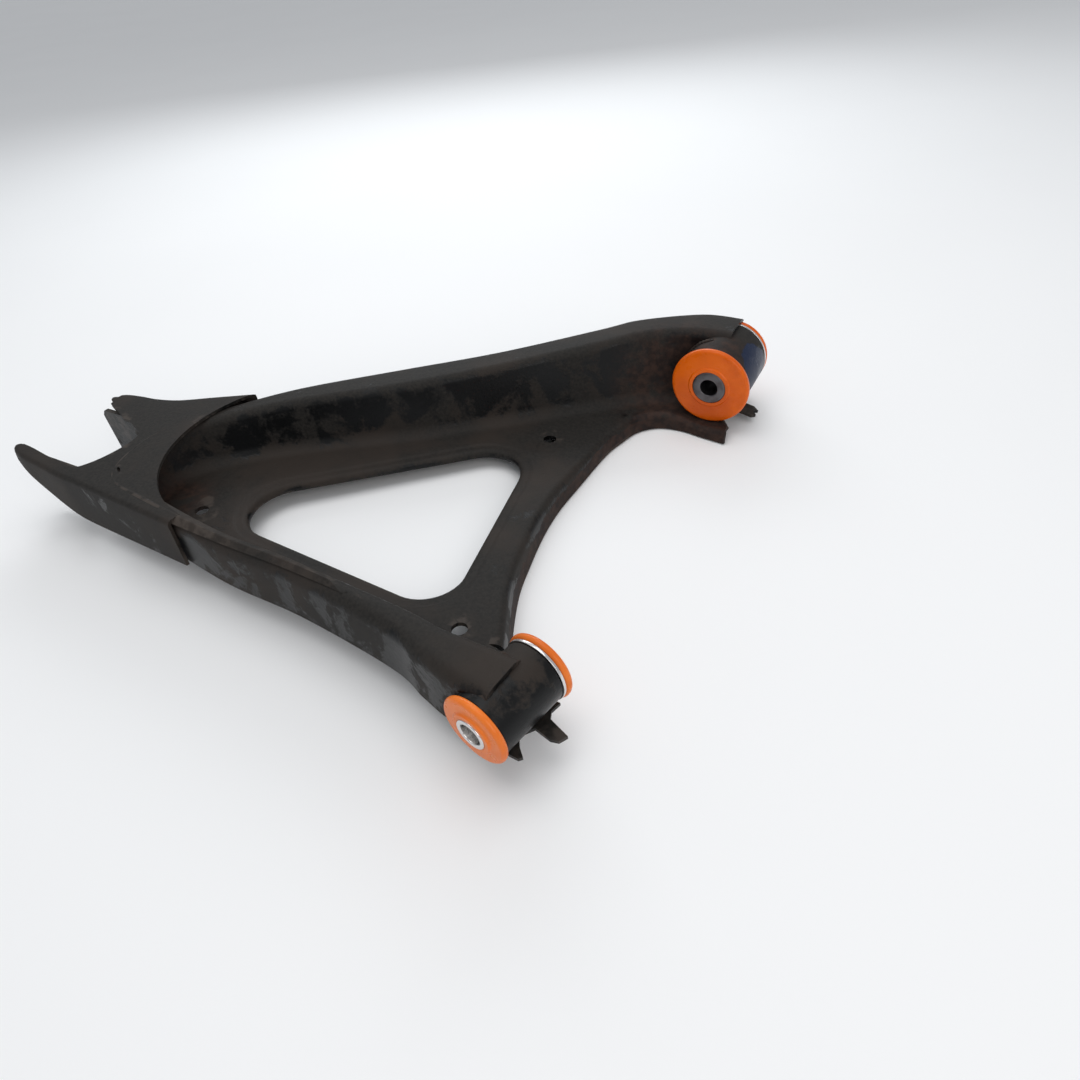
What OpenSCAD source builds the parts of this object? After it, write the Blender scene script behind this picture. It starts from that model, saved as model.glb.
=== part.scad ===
// Pressed-steel wishbone control arm with two polyurethane pivot bushes and an open fork.
// The origin is the centre of the front bush. X points outboard to the fork, Y along the
// pivot line to the rear bush, Z up. All sizes are millimetres.

/* [Layout] */
// Distance between the two bush centres
pivot_span = 375; // [300:5:450]
// Fork bolt distance outboard of the pivot line
fork_reach = 438; // [360:2:520]
// Fork centre distance along the pivot line from the front bush
fork_along = 304; // [240:1:340]
// Toe angle of the rear bush against the pivot line
rear_toe = 12; // [0:1:20]

/* [Pressing] */
// Sheet thickness of the pressing
sheet = 3; // [2:0.5:5]
// Height of the beam top above the pivot line, outboard half
beam_top = 20; // [14:1:30]
// Bend radius at the beam tops
crest_r = 8; // [5:1:12]
// Bend radius where the beams rise from the web
root_r = 12; // [6:1:20]
// Depth of the turned-down edge between the bushes, below the pivot line
skirt_low = 42; // [34:1:55]

/* [Front bush] */
// Flange diameter of the front bush at its inner end; the outer flange is as wide as the tube
front_flange_d = 66; // [50:1:80]
// Length of the front bush over its flanges
front_len = 66; // [50:1:80]
// Outside diameter of the front tube
front_tube_d = 60; // [46:1:74]
// Outside diameter of the front sleeve
front_sleeve_d = 28; // [22:1:34]

/* [Rear bush] */
// Flange diameter of the rear bush
rear_flange_d = 45; // [36:1:60]
// Length of the rear bush over its flanges
rear_len = 58; // [44:1:70]
// Outside diameter of the rear tube
rear_tube_d = 41; // [32:1:54]
// Outside diameter of the rear sleeve
rear_sleeve_d = 20; // [18:1:28]

/* [Bolts] */
// Bore for the pivot bolts and the fork bolt, M14 with clearance
bolt_bore = 14.2; // [12.2:0.1:16.2]

/* [Hidden] */
$fn = 96;

// The web slopes so that it passes just under both tubes.
web_front = -(front_tube_d / 2) + 0.5;
web_rear = -(rear_tube_d / 2) + 3.7;
web_slope = (web_rear - web_front) / pivot_span;
rear_x = -6;
rear_bush_at = [rear_x, pivot_span, 0];
front_crest = front_tube_d / 2 + sheet + 0.3;
rear_crest = rear_tube_d / 2 + sheet + 0.3;
wall_run = 8;
beam_low = -40;
toe_drop = 0.2;
window_lip = 6;
hole_d = 11;
tube_wall = 3;
flange_t = 6;
ring_t = 2;
bush_slip = 0.05;
flange_room = 0.4;
clevis_gap = 66;
lug_t = 4;
lug_low = -33;
bolt_z = -20;
cap_t = 2.5;
arc_steps = 4;
span_steps = 3;

front_id = front_tube_d - 2 * tube_wall;
rear_id = rear_tube_d - 2 * tube_wall;
front_tube_ends = [-front_len / 2 + flange_t + ring_t + 0.2, front_len / 2 - flange_t];
rear_tube_ends = [-rear_len / 2 + flange_t + ring_t - 0.8, rear_len / 2 - flange_t + 1];

function web_z(y) = web_front + web_slope * y;

// ---- curve and sheet helpers ----

function unit(v) = v / norm(v);

// One point of a smooth curve between p1 and p2, with p0 and p3 as neighbours.
function blend(p0, p1, p2, p3, t) =
    0.5 * (2 * p1 + (p2 - p0) * t + (2 * p0 - 5 * p1 + 4 * p2 - p3) * t * t
    + (3 * p1 - p0 - 3 * p2 + p3) * t * t * t);

// A smooth open curve through the points p, with n steps on each span.
function smooth(p, n) = let (last = len(p) - 1) concat(
    [for (i = [0:last - 1]) for (k = [0:n - 1])
        blend(p[max(i - 1, 0)], p[i], p[i + 1], p[min(i + 2, last)], k / n)],
    [p[last]]
);

// Shortest turn from angle a to angle b.
function turn(a, b) = let (d = (b - a + 900) % 360) d - 180;

// The arc of radius r that rounds the corner b between a and c.
function corner_arc(a, b, c, r, n) =
    let (
        to_a = unit(a - b),
        to_c = unit(c - b),
        half = acos(to_a * to_c) / 2,
        mid = b + unit(to_a + to_c) * r / sin(half),
        from = b + to_a * r / tan(half) - mid,
        upto = b + to_c * r / tan(half) - mid,
        start = atan2(from[1], from[0]),
        sweep = turn(start, atan2(upto[1], upto[0]))
    )
    [for (i = [0:n]) mid + r * [cos(start + sweep * i / n), sin(start + sweep * i / n)]];

// Right-hand normal of the step from a to b, which is the underside of a sheet.
function under(a, b) = let (d = unit(b - a)) [d[1], -d[0]];

function backwards(p) = let (last = len(p) - 1) [for (i = [0:last]) p[last - i]];

// Corners of the underside of a bent sheet of thickness t.
function under_corners(c, t) = let (last = len(c) - 1) [
    for (i = [0:last])
        let (
            n1 = under(c[max(i - 1, 0)], c[max(i, 1)]),
            n2 = under(c[min(i, last - 1)], c[min(i + 1, last)])
        )
        c[i] + t * (n1 + n2) / (1 + n1 * n2)
];

// +1 where the sheet bends up at corner i, -1 where it bends down.
function bend_sign(c, i) =
    let (d1 = c[i] - c[i - 1], d2 = c[i + 1] - c[i]) sign(d1[0] * d2[1] - d1[1] * d2[0]);

// A polyline with its inner corners rounded.
function rounded(c, radii, n) = let (last = len(c) - 1) concat(
    [c[0]],
    [for (i = [1:last - 1]) each corner_arc(c[i - 1], c[i], c[i + 1], radii[i - 1], n)],
    [c[last]]
);

// Closed section of a bent sheet: top side out, underside back.
function sheet_section(c, radii, t, n) =
    let (
        low = under_corners(c, t),
        low_radii = [for (i = [0:len(radii) - 1]) radii[i] + t * bend_sign(c, i + 1)],
        back = rounded(low, low_radii, n)
    )
    concat(rounded(c, radii, n), backwards(back));

// A section placed on the vertical plane from the plan point a towards the plan point b.
function stand(section, a, b) =
    let (e = unit(b - a)) [for (p = section) [a[0] + e[0] * p[0], a[1] + e[1] * p[0], p[1]]];

// Solid skin through equal rings of points. Each ring runs out along the top of a sheet and back
// along its underside, so its two ends close with short four-sided faces.
module skin(rings) {
    n = len(rings[0]);
    m = len(rings);
    sides = [for (i = [0:m - 2]) for (j = [0:n - 1]) each [
        [i * n + j, i * n + (j + 1) % n, (i + 1) * n + j],
        [i * n + (j + 1) % n, (i + 1) * n + (j + 1) % n, (i + 1) * n + j]
    ]];
    first = [for (j = [0:n / 2 - 2]) [n - 1 - j, n - 2 - j, j + 1, j]];
    end = [for (j = [0:n / 2 - 2]) [for (k = [j, j + 1, n - 2 - j, n - 1 - j]) (m - 1) * n + k]];
    polyhedron(points = [for (r = rings) each r], faces = concat(sides, first, end), convexity = 8);
}

// ---- plan of the pressing ----

// Each beam station holds the foot of the inner wall, the outer top corner, and the two heights:
// [foot x, foot y, outer x, outer y, top z, bottom z].
nose_x = fork_reach - 68;
nose_top = beam_top - 2;
front_beam = [
    [-6, 9, -6, -36, front_crest, beam_low],
    [28, 12, 29, -34, front_crest, beam_low],
    [61, 28, 79, -9, front_crest - 1, beam_low],
    [89, 50, 108, 14, beam_top + 9.5, beam_low],
    [156, 104, 178, 71, beam_top + 4.5, beam_low],
    [223, 157, 249, 124, beam_top + 2, beam_low],
    [293, 204, 317, 177, beam_top, beam_low + 6]
];
nose = [
    [nose_x - 31, fork_along - 63, nose_x - 12, fork_along - 84, nose_top, -22],
    [nose_x - 10, fork_along - 36, nose_x + 10, fork_along - 50, nose_top, -18],
    [nose_x - 3, fork_along - 5, nose_x + 16, fork_along - 5, nose_top, -16],
    [nose_x - 17, fork_along + 25, nose_x, fork_along + 37, nose_top, -16]
];
rear_beam = [
    [nose_x - 58, fork_along + 33, nose_x - 56, fork_along + 47, nose_top, -16],
    [235, 341, 235, 361, nose_top, -20],
    [160, 343, 161, 364, beam_top - 0.5, -20],
    [77, 348, 79, 374, beam_top, -20],
    [44, 353, 48, 384, beam_top + 1.5, -20],
    [22, 355, 27, 390, rear_crest, -20],
    [-11, 356, -6, 396, rear_crest, -17]
];
beam_path = smooth(concat(front_beam, nose, rear_beam), span_steps);

// Each skirt station holds the crease and a point the skirt faces, in plan.
skirt_path = smooth([
    [-20, 46, -24, 76],
    [1, 43, -2, 73],
    [20, 40, 18, 70],
    [40, 43, 30, 70],
    [55, 56, 30, 75],
    [62, 76, 34, 88],
    [67, 100, 37, 104],
    [69, 145, 39, 147],
    [70, 180, 40, 180],
    [67, 212, 38, 206],
    [60, 247, 32, 238],
    [53, 274, 26, 262],
    [40, 305, 14, 290],
    [26, 332, -2, 322]
], span_steps);

// Window between the beams: three corners and their radii.
window_corners = [[333, 306], [118, 121], [78, 322]];
window_radii = [32, 31, 27];
web_holes = [[317, 310], [109, 115], [58, 332]];

function beam_ring(s) =
    let (
        foot = [s[0], s[1]],
        top_out = [s[2], s[3]],
        width = norm(top_out - foot),
        floor_z = web_z(s[1]) - toe_drop,
        corners = [
            [-12, floor_z], [0, floor_z], [wall_run, s[4]], [width, s[4]], [width + 1.5, s[5]]
        ]
    )
    stand(sheet_section(corners, [root_r, crest_r, crest_r + 1], sheet - 2 * toe_drop, arc_steps),
        foot, top_out);

function skirt_ring(s) =
    let (
        crease = [s[0], s[1]],
        floor_z = web_z(s[1]) - toe_drop,
        corners = [[-9, floor_z], [0, floor_z], [2.5, -skirt_low]]
    )
    stand(sheet_section(corners, [7], sheet - 2 * toe_drop, arc_steps), crease, [s[2], s[3]]);

module window_plan(grow) {
    last = len(window_corners) - 1;
    mid = (window_corners[0] + window_corners[1] + window_corners[2]) / 3;
    big = [for (c = window_corners) c + unit(c - mid) * grow];
    polygon([for (i = [0:last]) each corner_arc(
        big[(i + last) % (last + 1)], big[i], big[(i + 1) % (last + 1)], window_radii[i], 8
    )]);
}

// Everything inside the foot of the beams and the crease of the skirt.
module web_plan() {
    polygon(concat(
        [for (s = beam_path) [s[0], s[1]]],
        [for (s = backwards(skirt_path)) [s[0], s[1]]]
    ));
}

// Holds its children on the sloping web, with the web's top face at z = 0.
module on_web() {
    multmatrix([[1, 0, 0, 0], [0, 1, 0, 0], [0, web_slope, 1, web_front], [0, 0, 0, 1]])
        children();
}

module web() {
    on_web() difference() {
        translate([0, 0, -sheet]) linear_extrude(sheet) web_plan();
        translate([0, 0, -sheet - 1]) linear_extrude(sheet + 2) window_plan(0);
        for (h = web_holes) {
            translate([h[0], h[1], -sheet - 1]) cylinder(d = hole_d, h = sheet + 2, $fn = 32);
        }
    }
}

// Edge of the window turned down for stiffness.
module window_edge() {
    on_web() translate([0, 0, -window_lip]) difference() {
        linear_extrude(window_lip - toe_drop) window_plan(4);
        translate([0, 0, -1]) linear_extrude(window_lip + 2) window_plan(0);
    }
}

module along_front() {
    rotate([-90, 0, 0]) children();
}

// Places its children on the rear bush axis, with +Z of the child pointing outwards at the rear.
module along_rear() {
    translate(rear_bush_at) rotate([0, 0, -rear_toe]) rotate([-90, 0, 0]) children();
}

module pressing() {
    color("#22211f") difference() {
        union() {
            web();
            window_edge();
            skin([for (s = backwards(beam_path)) beam_ring(s)]);
            skin([for (s = skirt_path) skirt_ring(s)]);
        }
        along_front() cylinder(d = front_tube_d + 0.1, h = front_len + 60, center = true);
        along_front() translate([0, 0, front_tube_ends[1] - flange_room])
            cylinder(d = front_flange_d + 2 * flange_room, h = front_len);
        along_rear() cylinder(d = rear_tube_d + 0.1, h = rear_len + 30, center = true);
        along_rear() translate([0, 0, rear_tube_ends[0] - rear_len])
            cylinder(d = rear_flange_d + 2 * flange_room, h = rear_len);
    }
}

// ---- fork ----

// Each cap station holds an inner point, the outer top corner, and the bottom of the outer wall.
cap_front = smooth([
    [fork_reach - 108, fork_along - 82, fork_reach - 92.4, fork_along - 101.4, -24],
    [fork_reach - 76, fork_along - 64, fork_reach - 60, fork_along - 84, -22],
    [fork_reach - 46, fork_along - 42, fork_reach - 34, fork_along - 70, -21],
    [fork_reach - 17, fork_along - 28, fork_reach - 13, fork_along - 64, -18],
    [fork_reach + 3, fork_along - 34, fork_reach + 6, fork_along - 62, -9],
    [fork_reach + 18, fork_along - 39, fork_reach + 22, fork_along - 59, 2],
    [fork_reach + 28, fork_along - 44, fork_reach + 31, fork_along - 53, 13]
], span_steps);
cap_rear = smooth([
    [fork_reach - 164, fork_along + 40, fork_reach - 162, fork_along + 56, -19],
    [fork_reach - 108, fork_along + 38, fork_reach - 107, fork_along + 53, -20],
    [fork_reach - 53, fork_along + 36, fork_reach - 52, fork_along + 50, -21],
    [fork_reach - 27, fork_along + 37, fork_reach - 26, fork_along + 49, -18],
    [fork_reach + 2, fork_along + 35, fork_reach + 3, fork_along + 46, -9],
    [fork_reach + 27, fork_along + 32, fork_reach + 29, fork_along + 43, 3],
    [fork_reach + 44, fork_along + 31, fork_reach + 46, fork_along + 38, 14]
], span_steps);
cap_top = nose_top + 0.3 + cap_t;
cap_r = 4;
// Circle that cuts the inboard edge of the cap.
cap_arc_r = 97;
cap_arc_at = [fork_reach - 176, fork_along - 51];
scoop = smooth([
    [fork_reach - 35, fork_along - 21], [fork_reach - 45, fork_along - 16],
    [fork_reach - 48, fork_along - 2], [fork_reach - 44, fork_along + 20],
    [fork_reach - 36, fork_along + 35], [fork_reach - 28, fork_along + 40]
], 4);
slot_at = [fork_reach - 72, fork_along + 25];

function cap_ring(s, top) =
    let (
        start = [s[0], s[1]],
        top_out = [s[2], s[3]],
        width = norm(top_out - start),
        corners = [[0, top], [width, top], [width + 1.5, s[4]]]
    )
    stand(sheet_section(corners, [cap_r], cap_t - 0.2, arc_steps), start, top_out);

module cap_plan() {
    difference() {
        polygon(concat(
            [for (i = [0:3 * span_steps]) let (s = cap_front[i]) [s[0], s[1]] * 0.5 + [s[2], s[3]] * 0.5],
            scoop,
            [for (i = [0:2 * span_steps])
                let (s = cap_rear[2 * span_steps - i]) [s[0], s[1]] * 0.5 + [s[2], s[3]] * 0.5]
        ));
        translate(slot_at) rotate(-30) square([8, 2], center = true);
    }
}

module fork_cap() {
    color("#262523") difference() {
        union() {
            translate([0, 0, cap_top - cap_t + 0.1]) linear_extrude(cap_t - 0.2) cap_plan();
            skin([for (s = backwards(cap_front)) cap_ring(s, cap_top)]);
            skin([for (s = cap_rear) cap_ring(s, cap_top)]);
        }
        translate([cap_arc_at[0], cap_arc_at[1], -60]) cylinder(r = cap_arc_r, h = 120);
    }
}

// Upright plate that carries one end of the fork bolt.
module lug() {
    end_x = fork_reach + 27;
    top = nose_top;
    rotate([90, 0, 0]) linear_extrude(lug_t) difference() {
        polygon([
            [fork_reach - 34, top], [end_x - 4, top], [end_x, top - 5], [end_x, bolt_z - 8],
            [end_x - 11, lug_low], [fork_reach - 12, lug_low], [fork_reach - 34, bolt_z + 4]
        ]);
        translate([fork_reach, bolt_z]) circle(d = bolt_bore);
    }
}

module clevis_front_lug() {
    color("#2b2926") translate([0, fork_along - clevis_gap / 2, 0]) lug();
}

module clevis_rear_lug() {
    color("#2b2926") translate([0, fork_along + clevis_gap / 2 + lug_t, 0]) lug();
}

// ---- bushes; local +Z runs along the bush axis ----

module pipe(outer, inner, z0, z1) {
    translate([0, 0, z0]) difference() {
        cylinder(d = outer, h = z1 - z0);
        translate([0, 0, -1]) cylinder(d = inner, h = z1 - z0 + 2);
    }
}

// Half of a bush: a flange with a rounded rim and a spigot in the tube. The flange face is at
// z = half and the spigot ends just short of z = 0.
module bush_half(half, flange_d, flange, spigot_d, bore_d, groove_out, groove_in, groove_deep, boss_d) {
    rim = flange / 2 - 0.4;
    difference() {
        union() {
            rotate_extrude() polygon(concat(
                [[bore_d / 2, half - flange], [flange_d / 2 - rim, half - flange]],
                [for (a = [-90:15:90]) [
                    flange_d / 2 - rim + rim * cos(a),
                    half - flange / 2 + (flange / 2 - rim) * sign(a) + rim * sin(a)
                ]],
                [[bore_d / 2, half]]
            ));
            pipe(spigot_d, bore_d, 0.2, half - flange / 2);
            pipe(boss_d, bore_d, half - 0.5, half + 1);
        }
        if (groove_deep > 0) {
            translate([0, 0, half + 1]) rotate_extrude() polygon([
                [groove_in, 0], [groove_in, -groove_deep - 1],
                [groove_out - groove_deep / 3, -groove_deep - 1], [groove_out, -1], [groove_out, 0]
            ]);
        }
    }
}

module sleeve(outer, len) {
    lead = 1.2;
    rotate_extrude() polygon([
        [bolt_bore / 2, -len / 2 + lead], [bolt_bore / 2 + lead, -len / 2], [outer / 2 - lead, -len / 2],
        [outer / 2, -len / 2 + lead], [outer / 2, len / 2 - lead], [outer / 2 - lead, len / 2],
        [bolt_bore / 2 + lead, len / 2], [bolt_bore / 2, len / 2 - lead]
    ]);
}

module front_tube() {
    color("#242321") along_front() pipe(front_tube_d, front_id, front_tube_ends[0], front_tube_ends[1]);
}

module rear_tube() {
    color("#242321") along_rear() pipe(rear_tube_d, rear_id, rear_tube_ends[0], rear_tube_ends[1]);
}

module front_inner_bush() {
    color("#e2731a") along_front() bush_half(front_len / 2, front_flange_d, flange_t - 0.1,
        front_id - 0.1, front_sleeve_d + 2 * bush_slip, 0, 0, 0, front_sleeve_d + 6);
}

module front_outer_bush() {
    color("#e2731a") along_front() mirror([0, 0, 1]) bush_half(front_len / 2, front_tube_d,
        flange_t - 0.1, front_id - 0.1, front_sleeve_d + 2 * bush_slip,
        front_tube_d / 2 - 6, front_sleeve_d / 2 + 3, 10, front_sleeve_d + 5);
}

module rear_outer_bush() {
    color("#e2731a") along_rear() bush_half(rear_len / 2, rear_flange_d, flange_t - 1.1,
        rear_id - 0.1, rear_sleeve_d + 2 * bush_slip, 0, 0, 0, rear_sleeve_d + 6);
}

module rear_inner_bush() {
    color("#e2731a") along_rear() mirror([0, 0, 1]) bush_half(rear_len / 2, rear_flange_d,
        flange_t - 1.1, rear_id - 0.1, rear_sleeve_d + 2 * bush_slip,
        rear_flange_d / 2 - 5, rear_sleeve_d / 2 + 2.5, 3, rear_sleeve_d + 4);
}

module front_sleeve() {
    color("#5c5b60") along_front() sleeve(front_sleeve_d, front_len + 3);
}

module rear_sleeve() {
    color("#c9c9cc") along_rear() sleeve(rear_sleeve_d, rear_len + 4);
}

module front_ring() {
    color("#c4c2c0") along_front()
        pipe(front_tube_d, front_id + 0.2, front_tube_ends[0] - ring_t - 0.1, front_tube_ends[0] - 0.1);
}

module rear_ring() {
    color("#d0cfcd") along_rear()
        pipe(rear_tube_d + 1.5, rear_id + 0.2, rear_tube_ends[0] - ring_t - 0.1, rear_tube_ends[0] - 0.1);
}

// ---- welds and tabs ----

// A round bead that runs part of the way round a tube, from angle a by angle sweep.
module tube_bead(tube_d, bead, along, a, sweep) {
    translate([0, 0, along]) rotate([0, 0, a]) difference() {
        rotate_extrude(angle = sweep) translate([tube_d / 2 + 0.2, 0]) circle(d = bead, $fn = 24);
        translate([0, 0, -bead]) cylinder(d = tube_d + 0.05, h = 2 * bead);
    }
}

module front_tube_weld() {
    color("#4a3a30") along_front() tube_bead(front_tube_d, 5, 10, -78, 58);
}

module rear_tube_weld() {
    color("#4a3a30") along_rear() tube_bead(rear_tube_d, 4, -17, -75, 60);
}

// Steel bracket on the underside of the front tube, with a notched end for a hose clip.
module front_tab() {
    color("#2b2926") translate([-10, 0, -front_tube_d / 2 - 0.4]) rotate([0, -12, 0]) translate([0, 0, -2.5])
        linear_extrude(2.5) polygon([[4, -7], [-20, -6], [-25, -2], [-21, 1], [-25, 5], [-22, 8], [4, 7]]);
}

// Steel bracket on the underside of the rear tube: a long prong and a short one.
module rear_tab() {
    color("#2b2926") translate([0, pivot_span, -rear_tube_d / 2 - 0.3 - 2.5]) linear_extrude(2.5) polygon([
        [-4, -22], [-25, -21], [-23, -14], [-25, -9], [-39, -3], [-36, 2], [-31, 3], [-20, 0],
        [-16, 5], [-15, 9], [-18, 14], [-23, 19], [-21, 21], [-4, 20]
    ]);
}

pressing();
fork_cap();
clevis_front_lug();
clevis_rear_lug();
front_tube();
front_inner_bush();
front_outer_bush();
front_sleeve();
front_ring();
rear_tube();
rear_inner_bush();
rear_outer_bush();
rear_sleeve();
rear_ring();
front_tube_weld();
rear_tube_weld();
front_tab();
rear_tab();
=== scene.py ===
"""Looks of a pressed-steel wishbone control arm: a worn black pressing with orange bushes."""

import math

import bmesh
import bpy
from mathutils import Matrix, Vector
from mathutils.geometry import delaunay_2d_cdt


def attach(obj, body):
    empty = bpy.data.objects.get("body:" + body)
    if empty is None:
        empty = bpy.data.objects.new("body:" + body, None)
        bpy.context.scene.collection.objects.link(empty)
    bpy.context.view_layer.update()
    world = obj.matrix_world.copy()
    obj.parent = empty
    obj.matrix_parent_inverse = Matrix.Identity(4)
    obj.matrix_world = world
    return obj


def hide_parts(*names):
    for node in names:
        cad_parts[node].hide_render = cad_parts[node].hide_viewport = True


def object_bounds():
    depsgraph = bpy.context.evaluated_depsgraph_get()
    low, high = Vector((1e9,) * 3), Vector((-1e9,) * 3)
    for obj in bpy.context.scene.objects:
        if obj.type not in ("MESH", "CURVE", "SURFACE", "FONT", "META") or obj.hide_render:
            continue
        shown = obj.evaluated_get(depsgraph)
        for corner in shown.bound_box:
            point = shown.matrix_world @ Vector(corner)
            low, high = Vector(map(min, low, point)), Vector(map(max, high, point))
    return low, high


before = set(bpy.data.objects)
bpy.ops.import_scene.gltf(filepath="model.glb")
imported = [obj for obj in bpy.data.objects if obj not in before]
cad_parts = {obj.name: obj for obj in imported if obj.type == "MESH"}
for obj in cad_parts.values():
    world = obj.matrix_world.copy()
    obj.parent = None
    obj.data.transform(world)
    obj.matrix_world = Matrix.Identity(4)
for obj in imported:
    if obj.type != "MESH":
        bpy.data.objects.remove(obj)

bpy.context.view_layer.update()
CAD_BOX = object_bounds()
MM = 0.001

# ---- driving sizes, in millimetres, as in the CAD model ----

PIVOT_SPAN = 375
FORK_REACH = 438
FORK_ALONG = 304
REAR_TOE = 12
SHEET = 3
BEAM_TOP = 20
CREST_R = 8
ROOT_R = 12
SKIRT_LOW = 41.8
FRONT_FLANGE_R = 33
FRONT_HALF = 33
FRONT_TUBE_R = 30
FRONT_SLEEVE_R = 14
REAR_FLANGE_R = 22.5
REAR_HALF = 29
REAR_TUBE_R = 20.5
REAR_SLEEVE_R = 10
BORE_R = 7.1
TUBE_WALL = 3
WEB_FRONT = -FRONT_TUBE_R + 0.5
WEB_SLOPE = (-REAR_TUBE_R + 3.7 - WEB_FRONT) / PIVOT_SPAN
FRONT_CREST = FRONT_TUBE_R + SHEET + 0.3
REAR_CREST = REAR_TUBE_R + SHEET + 0.3
WALL_RUN = 8
BEAM_LOW = -40
NOSE_X = FORK_REACH - 68
NOSE_TOP = BEAM_TOP - 2
CAP_T = 2.5
CAP_TOP = NOSE_TOP + 0.3 + CAP_T
CAP_R = 4
CAP_ARC_AT = (FORK_REACH - 176, FORK_ALONG - 51)
CAP_ARC_R = 97
REAR_BUSH_AT = Vector((-6, PIVOT_SPAN, 0))
REAR_AXIS = Vector((math.sin(math.radians(REAR_TOE)), math.cos(math.radians(REAR_TOE)), 0))

# Beam stations: [foot x, foot y, outer x, outer y, top z, bottom z].
FRONT_BEAM = [
    (-6, 9, -6, -35.8, FRONT_CREST, BEAM_LOW),
    (28, 12, 29, -33.8, FRONT_CREST, BEAM_LOW),
    (61, 28, 79, -9, FRONT_CREST - 1, BEAM_LOW),
    (89, 50, 108, 14, BEAM_TOP + 9.5, BEAM_LOW),
    (156, 104, 178, 71, BEAM_TOP + 4.5, BEAM_LOW),
    (223, 157, 249, 124, BEAM_TOP + 2, BEAM_LOW),
    (293, 204, 317, 177, BEAM_TOP, BEAM_LOW + 6),
]
NOSE = [
    (NOSE_X - 31, FORK_ALONG - 63, NOSE_X - 12, FORK_ALONG - 84, NOSE_TOP, -22),
    (NOSE_X - 10, FORK_ALONG - 36, NOSE_X + 10, FORK_ALONG - 50, NOSE_TOP, -18),
    (NOSE_X - 3, FORK_ALONG - 5, NOSE_X + 16, FORK_ALONG - 5, NOSE_TOP, -16),
    (NOSE_X - 17, FORK_ALONG + 25, NOSE_X, FORK_ALONG + 37, NOSE_TOP, -16),
]
REAR_BEAM = [
    (NOSE_X - 58, FORK_ALONG + 33, NOSE_X - 56, FORK_ALONG + 47, NOSE_TOP, -16),
    (235, 341, 235, 361, NOSE_TOP, -20),
    (160, 343, 161, 364, BEAM_TOP - 0.5, -20),
    (77, 348, 79, 374, BEAM_TOP, -20),
    (44, 353, 48, 384, BEAM_TOP + 1.5, -20),
    (22, 355, 27, 390, REAR_CREST, -20),
    (-11, 356, -6, 396, REAR_CREST, -17),
]
# Skirt stations: crease x, y and a point it faces.
SKIRT = [
    (-20, 46, -24, 76), (1, 43, -2, 73), (20, 40, 18, 70), (40, 43, 30, 70), (55, 56, 30, 75),
    (62, 76, 34, 88), (67, 100, 37, 104), (69, 145, 39, 147), (70, 180, 40, 180),
    (67, 212, 38, 206), (60, 247, 32, 238), (53, 274, 26, 262), (40, 305, 14, 290),
    (26, 332, -2, 322),
]
WINDOW = [(333, 306), (118, 121), (78, 322)]
WINDOW_R = [32, 31, 27]
WEB_HOLES = [(317, 310), (109, 115), (58, 332)]
HOLE_R = 5.5
# Cap stations: [inner x, inner y, outer x, outer y, bottom z].
CAP_FRONT = [
    (FORK_REACH - 108, FORK_ALONG - 82, FORK_REACH - 92.4, FORK_ALONG - 101.4, -24),
    (FORK_REACH - 76, FORK_ALONG - 64, FORK_REACH - 60, FORK_ALONG - 84, -22),
    (FORK_REACH - 46, FORK_ALONG - 42, FORK_REACH - 34, FORK_ALONG - 70, -21),
    (FORK_REACH - 17, FORK_ALONG - 28, FORK_REACH - 13, FORK_ALONG - 64, -18),
    (FORK_REACH + 3, FORK_ALONG - 34, FORK_REACH + 6, FORK_ALONG - 62, -9),
    (FORK_REACH + 18, FORK_ALONG - 39, FORK_REACH + 22, FORK_ALONG - 59, 2),
    (FORK_REACH + 28, FORK_ALONG - 44, FORK_REACH + 31, FORK_ALONG - 53, 13),
]
CAP_REAR = [
    (FORK_REACH - 164, FORK_ALONG + 40, FORK_REACH - 162, FORK_ALONG + 56, -19),
    (FORK_REACH - 108, FORK_ALONG + 38, FORK_REACH - 107, FORK_ALONG + 53, -20),
    (FORK_REACH - 53, FORK_ALONG + 36, FORK_REACH - 52, FORK_ALONG + 50, -21),
    (FORK_REACH - 27, FORK_ALONG + 37, FORK_REACH - 26, FORK_ALONG + 49, -18),
    (FORK_REACH + 2, FORK_ALONG + 35, FORK_REACH + 3, FORK_ALONG + 46, -9),
    (FORK_REACH + 27, FORK_ALONG + 32, FORK_REACH + 29, FORK_ALONG + 43, 3),
    (FORK_REACH + 44, FORK_ALONG + 31, FORK_REACH + 46, FORK_ALONG + 38, 14),
]
SCOOP = [
    (FORK_REACH - 35, FORK_ALONG - 21), (FORK_REACH - 45, FORK_ALONG - 16),
    (FORK_REACH - 48, FORK_ALONG - 2), (FORK_REACH - 44, FORK_ALONG + 20),
    (FORK_REACH - 36, FORK_ALONG + 35),
]
SLOT_AT = (FORK_REACH - 72, FORK_ALONG + 25)


# ---- small geometry helpers ----

def web_z(y):
    return WEB_FRONT + WEB_SLOPE * y


def smooth(points, steps):
    """Catmull-Rom curve through tuples of any length."""
    last = len(points) - 1
    out = []
    for i in range(last):
        p0, p1 = points[max(i - 1, 0)], points[i]
        p2, p3 = points[i + 1], points[min(i + 2, last)]
        for k in range(steps):
            t = k / steps
            out.append(tuple(
                0.5 * (2 * b + (c - a) * t + (2 * a - 5 * b + 4 * c - d) * t * t
                       + (3 * b - a - 3 * c + d) * t ** 3)
                for a, b, c, d in zip(p0, p1, p2, p3)
            ))
    out.append(tuple(points[last]))
    return out


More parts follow.
